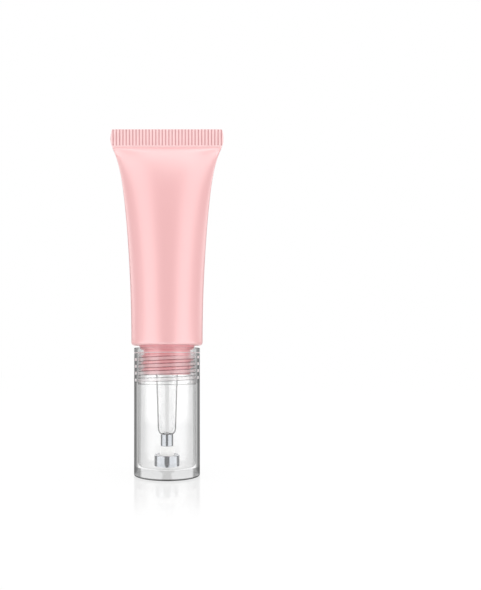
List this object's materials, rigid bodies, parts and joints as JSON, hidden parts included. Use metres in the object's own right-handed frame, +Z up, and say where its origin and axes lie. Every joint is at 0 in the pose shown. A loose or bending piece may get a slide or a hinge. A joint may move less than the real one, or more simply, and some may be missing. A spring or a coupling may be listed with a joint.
{
  "type": "lip gloss tube",
  "caption": "Soft squeeze tube with a flat ribbed crimp, a threaded head, a clear brush applicator and a thick clear screw cap that it stands on.",
  "frame": {"origin": "centre of the cap's base, on the surface that the tube stands on", "axes": "+Z up along the tube from the cap to the crimp, +X along the width of the crimp, -Y towards the viewer"},
  "size_m": [0.0303, 0.019, 0.0924],
  "materials": {
    "sleeve_plastic": "satin",
    "head_plastic": "satin",
    "cap_clear": "clear polished",
    "collar_clear": "clear polished",
    "nozzle_clear": "clear polished",
    "bright_metal": "polished",
    "liner_plastic": "soft",
    "feed_plastic": "smooth",
    "bristle": "fine filaments",
    "gloss": "wet"
  },
  "bodies": {
    "cap": {"cap_shell": "cap_clear", "cap_thread_collar": "collar_clear", "keeper_cup": "bright_metal", "keeper_liner": "liner_plastic"},
    "applicator": {"nozzle": "nozzle_clear", "feed_tube": "feed_plastic", "ferrule": "bright_metal", "brush_tuft": "bristle"},
    "tube": {"tube_sleeve": "sleeve_plastic", "tube_head": "head_plastic", "gloss_fill": "gloss"}
  },
  "joints": [
    {"name": "tube_lift", "type": "slide", "parent": "cap", "child": "applicator", "axis": [0, 0, 1], "range_m": [0, 0.0325]},
    {"name": "tube_turn", "type": "hinge", "parent": "applicator", "child": "tube", "pos_m": [0, 0, 0], "axis": [0, 0, 1], "range_deg": [0, 6480]}
  ],
  "couplings": [
    {"joint": "tube_lift", "follows": "tube_turn", "m_per_rad": 0.00028648}
  ]
}
